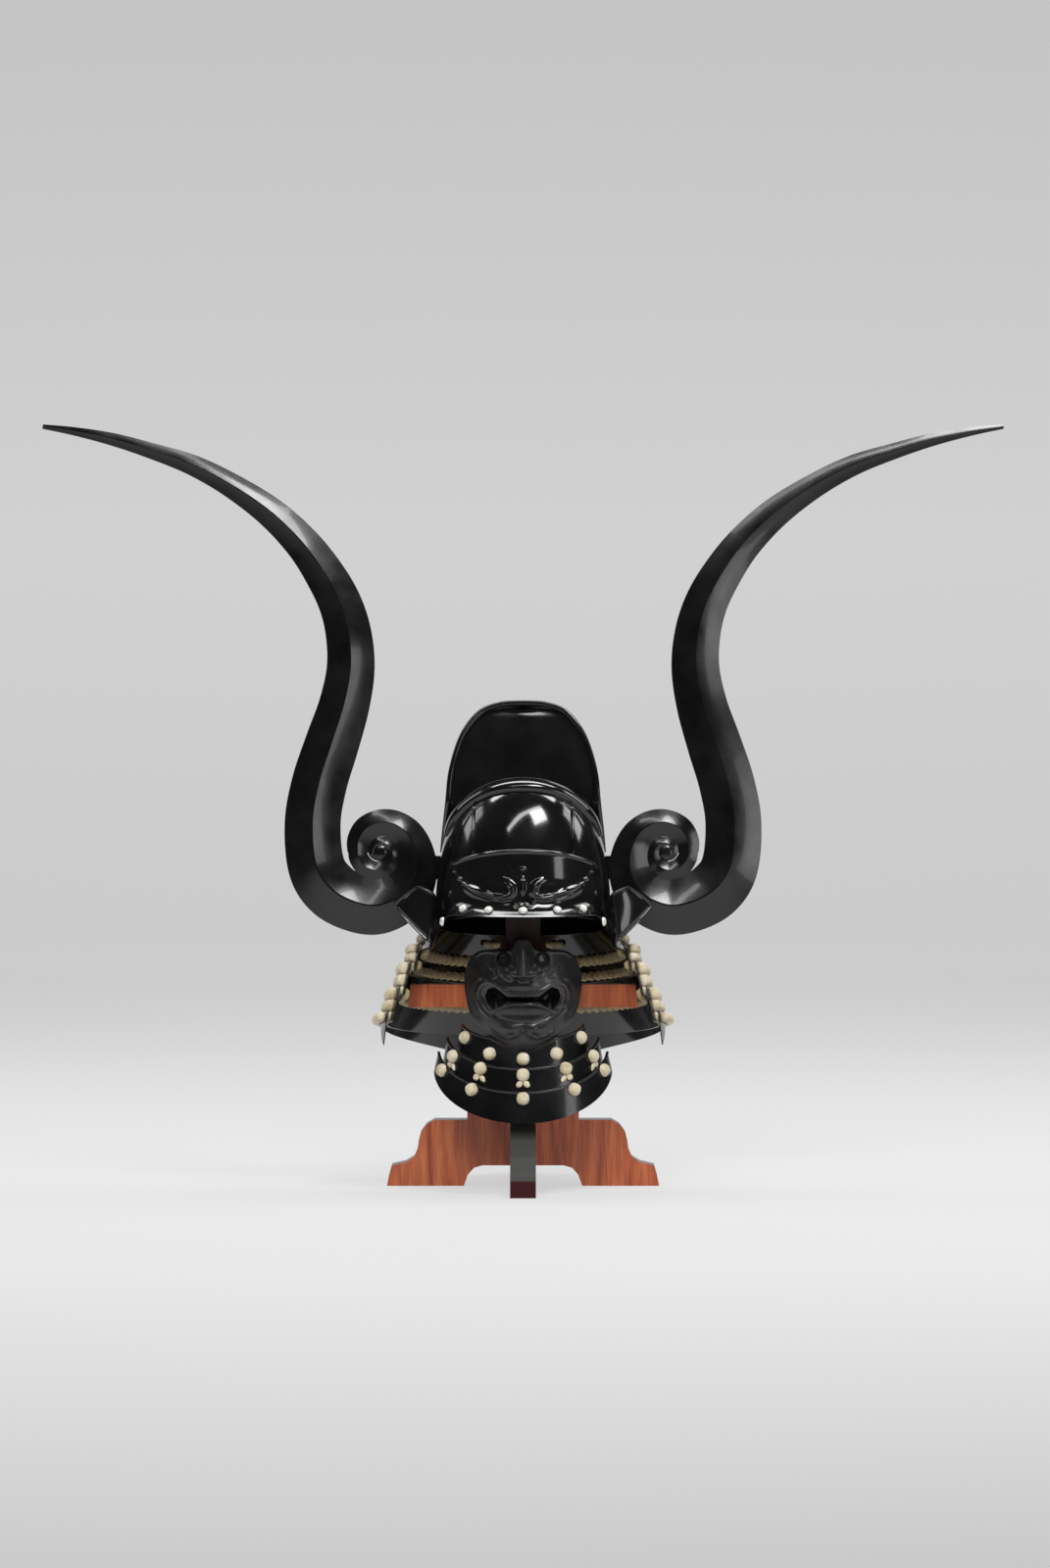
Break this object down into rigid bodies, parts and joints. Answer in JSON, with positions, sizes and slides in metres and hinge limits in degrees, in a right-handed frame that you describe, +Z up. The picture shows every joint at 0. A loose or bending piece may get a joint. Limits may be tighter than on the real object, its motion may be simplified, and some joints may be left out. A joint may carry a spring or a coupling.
{
  "type": "kabuto samurai helmet with face mask on a wooden stand",
  "caption": "Black lacquered crown-shaped kabuto helmet with tall cloud side crests, cream-laced neck guard, face mask and throat guard, on a crossed-board wooden stand.",
  "frame": {"origin": "centre of the bounding box at floor level", "axes": "+Z up, the face looks along -Y, +X to the viewer's right in the picture"},
  "size_m": [1.2468, 0.3612, 0.9777],
  "materials": {
    "black_lacquer": "gloss black lacquer",
    "silver_rivets": "bright domed heads",
    "cream_silk": "braided cord",
    "red_wood": "satin, vertical grain"
  },
  "bodies": {
    "root": {"bowl": "black_lacquer", "rear_crown": "black_lacquer", "crown_band": "black_lacquer", "rib_left": "black_lacquer", "rib_right": "black_lacquer", "brow_plate": "black_lacquer", "crest_right": "black_lacquer", "crest_left": "black_lacquer", "crest_socket_right": "black_lacquer", "crest_socket_left": "black_lacquer", "face_mask": "black_lacquer", "neck_lame_top": "black_lacquer", "neck_lame_2": "black_lacquer", "neck_lame_3": "black_lacquer", "neck_lame_4": "black_lacquer", "neck_lame_bottom": "black_lacquer", "throat_lame_1": "black_lacquer", "throat_lame_2": "black_lacquer", "throat_lame_3": "black_lacquer", "brow_rivet_1": "silver_rivets", "brow_rivet_2": "silver_rivets", "brow_rivet_3": "silver_rivets", "brow_rivet_4": "silver_rivets", "brow_rivet_5": "silver_rivets", "brow_rivet_6": "silver_rivets", "brow_rivet_7": "silver_rivets", "neck_lacing_top": "cream_silk", "neck_lacing_2": "cream_silk", "neck_lacing_3": "cream_silk", "neck_lacing_4": "cream_silk", "neck_lacing_bottom": "cream_silk", "throat_knot_1_1": "cream_silk", "throat_knot_1_2": "cream_silk", "throat_knot_1_3": "cream_silk", "throat_knot_1_4": "cream_silk", "throat_knot_1_5": "cream_silk", "throat_knot_2_1": "cream_silk", "throat_knot_2_2": "cream_silk", "throat_knot_2_3": "cream_silk", "throat_knot_2_4": "cream_silk", "throat_knot_2_5": "cream_silk", "throat_knot_3_1": "cream_silk", "throat_knot_3_2": "cream_silk", "throat_knot_3_3": "cream_silk", "throat_knot_3_4": "cream_silk", "throat_knot_3_5": "cream_silk", "stand_board_face": "red_wood", "stand_board_side": "red_wood"}
  },
  "joints": []
}
